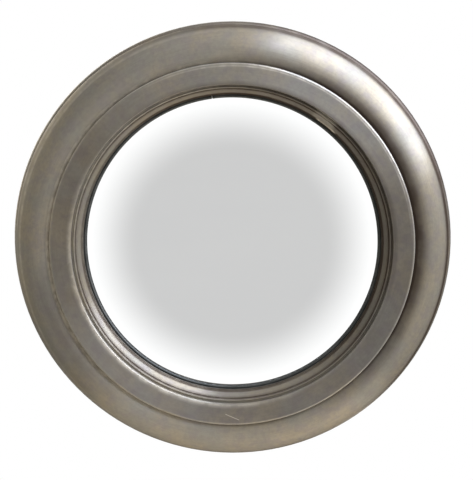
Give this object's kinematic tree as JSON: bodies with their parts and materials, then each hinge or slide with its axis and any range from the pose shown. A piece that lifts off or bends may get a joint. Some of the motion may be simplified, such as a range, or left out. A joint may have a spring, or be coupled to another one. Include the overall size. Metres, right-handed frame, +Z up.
{
  "type": "round convex wall mirror",
  "caption": "Round convex wall mirror in a broad stepped, turned frame with antiqued silver leaf, with backing board, turn buttons, strap hangers and wall bumpers.",
  "frame": {"origin": "where the mirror's axis meets the wall: the plane of the four bumpers' ends", "axes": "+Z up, +Y into the wall, so the glass faces -Y; left and right are the viewer's, left is -X"},
  "size_m": [0.6, 0.064, 0.6],
  "materials": {
    "silver_leaf": "satin antiqued silver leaf, brushed round, over turned wood",
    "dark_stained_wood": "matte dark stain on the back, leafed on the rounded edge",
    "ebonised_wood": "satin",
    "mirror_glass": "polished",
    "felt": "matte",
    "cork": "matte",
    "foam": "matte",
    "hardboard": "matte",
    "zinc_screws": "satin",
    "zinc_plate": "satin",
    "button_steel": "satin",
    "bumper_rubber": "matte"
  },
  "bodies": {
    "frame": {"base_ring": "dark_stained_wood", "quarter_round_ring": "silver_leaf", "step_ring": "silver_leaf", "sight_moulding": "silver_leaf", "split_slip": "ebonised_wood", "domed_glass": "mirror_glass", "felt_gasket": "felt", "cork_packers": "cork", "foam_ring": "foam", "backing_board": "hardboard", "outer_ring_screws": "zinc_screws", "step_ring_screws": "zinc_screws", "turn_button_screws": "zinc_screws", "strap_screws": "zinc_screws", "wall_bumpers": "bumper_rubber", "strap_left": "zinc_plate", "strap_right": "zinc_plate"},
    "turn_button_1": {"turn_button_1": "button_steel"},
    "turn_button_2": {"turn_button_2": "button_steel"},
    "turn_button_3": {"turn_button_3": "button_steel"},
    "turn_button_4": {"turn_button_4": "button_steel"},
    "turn_button_5": {"turn_button_5": "button_steel"},
    "turn_button_6": {"turn_button_6": "button_steel"},
    "turn_button_7": {"turn_button_7": "button_steel"},
    "turn_button_8": {"turn_button_8": "button_steel"},
    "d_ring_left": {"d_ring_left": "zinc_plate"},
    "d_ring_right": {"d_ring_right": "zinc_plate"}
  },
  "joints": [
    {"name": "turn_button_1_pivot", "type": "hinge", "parent": "frame", "child": "turn_button_1", "pos_m": [0.20464, -0.00625, 0.08476], "axis": [0, 1, 0], "continuous": true},
    {"name": "turn_button_2_pivot", "type": "hinge", "parent": "frame", "child": "turn_button_2", "pos_m": [0.08476, -0.00625, 0.20464], "axis": [0, 1, 0], "continuous": true},
    {"name": "turn_button_3_pivot", "type": "hinge", "parent": "frame", "child": "turn_button_3", "pos_m": [-0.08476, -0.00625, 0.20464], "axis": [0, 1, 0], "continuous": true},
    {"name": "turn_button_4_pivot", "type": "hinge", "parent": "frame", "child": "turn_button_4", "pos_m": [-0.20464, -0.00625, 0.08476], "axis": [0, 1, 0], "continuous": true},
    {"name": "turn_button_5_pivot", "type": "hinge", "parent": "frame", "child": "turn_button_5", "pos_m": [-0.20464, -0.00625, -0.08476], "axis": [0, 1, 0], "continuous": true},
    {"name": "turn_button_6_pivot", "type": "hinge", "parent": "frame", "child": "turn_button_6", "pos_m": [-0.08476, -0.00625, -0.20464], "axis": [0, 1, 0], "continuous": true},
    {"name": "turn_button_7_pivot", "type": "hinge", "parent": "frame", "child": "turn_button_7", "pos_m": [0.08476, -0.00625, -0.20464], "axis": [0, 1, 0], "continuous": true},
    {"name": "turn_button_8_pivot", "type": "hinge", "parent": "frame", "child": "turn_button_8", "pos_m": [0.20464, -0.00625, -0.08476], "axis": [0, 1, 0], "continuous": true},
    {"name": "d_ring_left_swing", "type": "hinge", "parent": "frame", "child": "d_ring_left", "pos_m": [-0.15, -0.00422, 0.214], "axis": [1, 0, 0], "range_deg": [0, 173]},
    {"name": "d_ring_right_swing", "type": "hinge", "parent": "frame", "child": "d_ring_right", "pos_m": [0.15, -0.00422, 0.214], "axis": [1, 0, 0], "range_deg": [0, 173]}
  ]
}
